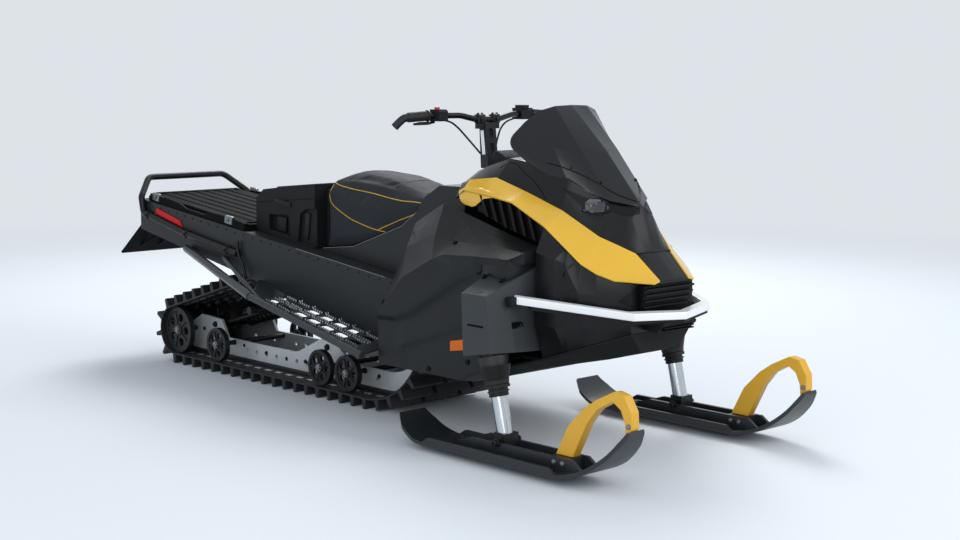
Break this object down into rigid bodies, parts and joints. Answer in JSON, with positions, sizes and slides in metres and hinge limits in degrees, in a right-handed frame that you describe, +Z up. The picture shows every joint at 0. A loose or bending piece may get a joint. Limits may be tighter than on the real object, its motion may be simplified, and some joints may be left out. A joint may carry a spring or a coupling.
{
  "type": "utility snowmobile",
  "caption": "Utility snowmobile with a rubber track in a tunnel, two steered skis on telescopic legs, a seat, storage box, cargo deck and windshield.",
  "frame": {"origin": "on the ground, midway along the length and the width", "axes": "+X forward to the ski tips, +Y to the rider's left, +Z up"},
  "size_m": [3.262, 1.084, 1.17],
  "materials": {
    "track_rubber": "moulded black track rubber",
    "wheel_plastic": "black moulded wheel with rubber rim",
    "bright_aluminium": "bare aluminium",
    "dark_plastic": "black sliding plastic",
    "black_steel": "black powder coat",
    "dark_aluminium": "dark grey coated aluminium",
    "matte_black": "textured black plastic",
    "satin_black": "dark grey satin plastic",
    "flap_rubber": "flexible black sheet",
    "seat_vinyl": "dark grey coated fabric with yellow piping",
    "engine_metal": "cast metal",
    "yellow_plastic": "glossy yellow plastic",
    "grille_black": "black grille plastic",
    "white_strip": "white plastic",
    "smoked_shield": "smoked glossy plastic",
    "lamp_lens": "clear lamp lens",
    "grip_rubber": "soft black rubber",
    "silver_tube": "bright polished tube",
    "ski_plastic": "black moulded plastic",
    "yellow_handle": "yellow plastic",
    "cable_jacket": "black cable jacket",
    "reflector_lens": "amber and red lens"
  },
  "bodies": {
    "chassis": {"track": "track_rubber", "rear_idlers": "wheel_plastic", "bogie_wheels": "wheel_plastic", "slide_rails": "bright_aluminium", "slide_shoes": "dark_plastic", "upper_rollers": "wheel_plastic", "drive_axle": "dark_plastic", "suspension_arms": "black_steel", "shock_absorbers": "black_steel", "tunnel": "dark_aluminium", "running_boards": "dark_aluminium", "cargo_deck": "matte_black", "rear_box": "matte_black", "rear_hoop": "black_steel", "snow_flap": "flap_rubber", "tank_cover": "matte_black", "seat": "seat_vinyl", "belly_pan": "matte_black", "front_frame": "dark_aluminium", "engine_block": "engine_metal", "hood": "satin_black", "hood_side_panels": "yellow_plastic", "nose_shell": "satin_black", "nose_grille": "grille_black", "side_panel_right": "satin_black", "side_panel_left": "satin_black", "strut_covers": "matte_black", "strut_sleeves": "black_steel", "front_bumper": "white_strip", "bumper_lip": "matte_black", "windshield": "smoked_shield", "headlights": "lamp_lens", "vent_louvres": "grille_black", "reflectors": "reflector_lens", "tow_hitch": "black_steel"},
    "bars": {"steering_post": "black_steel", "handlebar": "black_steel", "grips": "grip_rubber", "hand_controls": "matte_black", "throttle_cable": "cable_jacket", "brake_hose": "cable_jacket"},
    "right_leg": {"steering_leg_right": "silver_tube"},
    "left_leg": {"steering_leg_left": "silver_tube"},
    "right_ski": {"ski_right": "ski_plastic", "ski_handle_right": "yellow_handle"},
    "left_ski": {"ski_left": "ski_plastic", "ski_handle_left": "yellow_handle"}
  },
  "joints": [
    {"name": "steering", "type": "hinge", "parent": "chassis", "child": "bars", "pos_m": [0.512, 0, 0.925], "axis": [-0.0785, 0, 0.9969], "range_deg": [-38, 38]},
    {"name": "right_leg_steer", "type": "hinge", "parent": "chassis", "child": "right_leg", "pos_m": [1.065, -0.45, 0.078], "axis": [-0.2334, 0, 0.9724], "range_deg": [-33, 33]},
    {"name": "right_ski_pitch", "type": "hinge", "parent": "right_leg", "child": "right_ski", "pos_m": [1.065, -0.45, 0.078], "axis": [0, 1, 0], "range_deg": [-12, 10], "stiffness_Nm_per_rad": 90},
    {"name": "left_leg_steer", "type": "hinge", "parent": "chassis", "child": "left_leg", "pos_m": [1.065, 0.45, 0.078], "axis": [-0.2334, 0, 0.9724], "range_deg": [-33, 33]},
    {"name": "left_ski_pitch", "type": "hinge", "parent": "left_leg", "child": "left_ski", "pos_m": [1.065, 0.45, 0.078], "axis": [0, 1, 0], "range_deg": [-12, 10], "stiffness_Nm_per_rad": 90}
  ],
  "couplings": [
    {"joint": "right_leg_steer", "follows": "steering", "ratio": 0.85},
    {"joint": "left_leg_steer", "follows": "steering", "ratio": 0.85}
  ]
}
